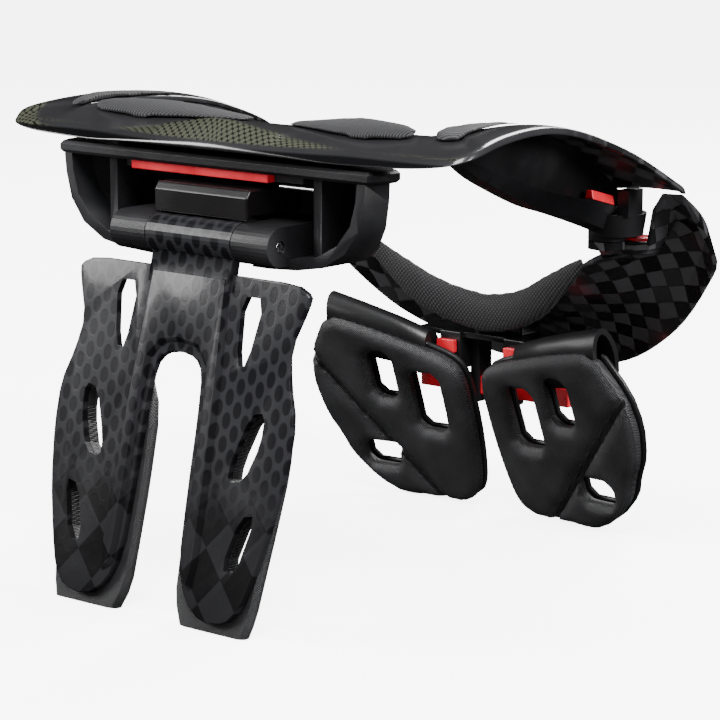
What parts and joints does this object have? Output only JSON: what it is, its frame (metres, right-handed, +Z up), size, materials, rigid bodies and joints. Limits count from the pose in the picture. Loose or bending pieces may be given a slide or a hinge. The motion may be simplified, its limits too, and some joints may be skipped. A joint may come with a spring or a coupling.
{
  "type": "motocross neck brace",
  "caption": "Carbon motocross neck brace with mesh neck pads, red release buttons, a forked back strut and windowed foam chest pads.",
  "frame": {"origin": "on the floor, in the symmetry plane, under the middle of the bounding box", "axes": "+Z up, the wearer faces -Y, the wearer's left is +X"},
  "size_m": [0.2926, 0.3235, 0.2364],
  "materials": {
    "carbon": "clear-coated carbon fibre weave",
    "black_plastic": "satin moulded",
    "grey_plastic": "satin moulded",
    "black_rubber": "smooth",
    "pad_foam": "fine ribbed foam",
    "pad_mesh": "honeycomb mesh over foam",
    "red_plastic": "glossy moulded",
    "steel": "drawn rod"
  },
  "bodies": {
    "rear": {"rear_shell": "carbon", "channel_frame_right": "black_plastic", "channel_frame_left": "black_plastic", "rear_pad_right": "pad_mesh", "rear_pad_left": "pad_mesh", "arch_pad_right": "pad_mesh", "arch_pad_left": "pad_mesh", "rear_housing": "black_plastic", "angle_stop": "black_plastic", "lock_bar_rail": "grey_plastic", "lock_wire": "steel", "hinge_pin": "steel"},
    "front": {"front_shell": "carbon", "button_ring_right": "black_plastic", "button_ring_left": "black_plastic", "front_pad": "pad_mesh", "chest_frame_right": "black_rubber", "chest_frame_left": "black_rubber", "chest_foam_right": "pad_foam", "chest_foam_left": "pad_foam", "chest_bracket": "black_plastic", "adjuster_bar": "red_plastic", "adjuster_block_right": "red_plastic", "adjuster_block_left": "red_plastic"},
    "strut": {"back_strut": "carbon", "strut_lining_right": "pad_foam", "strut_lining_left": "pad_foam"},
    "lock": {"lock_bar": "red_plastic"},
    "slider_right": {"closure_slider_right": "red_plastic"},
    "slider_left": {"closure_slider_left": "red_plastic"},
    "button_right": {"release_button_right": "red_plastic"},
    "button_left": {"release_button_left": "red_plastic"}
  },
  "joints": [
    {"name": "strut_fold", "type": "hinge", "parent": "rear", "child": "strut", "pos_m": [0, 0.118, 0.178], "axis": [-1, 0, 0], "range_deg": [0, 45]},
    {"name": "front_swing", "type": "hinge", "parent": "rear", "child": "front", "pos_m": [0.099, -0.0755, 0.16], "axis": [0, 0, 1], "range_deg": [0, 35]},
    {"name": "lock_slide", "type": "slide", "parent": "rear", "child": "lock", "axis": [1, 0, 0], "range_m": [0, 0.008]},
    {"name": "slider_right_slide", "type": "slide", "parent": "rear", "child": "slider_right", "axis": [0, 0.9677, 0.2522], "range_m": [0, 0.004]},
    {"name": "slider_left_slide", "type": "slide", "parent": "rear", "child": "slider_left", "axis": [0, 0.9677, 0.2522], "range_m": [0, 0.004]},
    {"name": "button_right_press", "type": "slide", "parent": "front", "child": "button_right", "axis": [0, 0, -1], "range_m": [0, 0.0014], "stiffness_N_per_m": 400, "springref_m": -0.0005},
    {"name": "button_left_press", "type": "slide", "parent": "front", "child": "button_left", "axis": [0, 0, -1], "range_m": [0, 0.0014], "stiffness_N_per_m": 400, "springref_m": -0.0005}
  ]
}
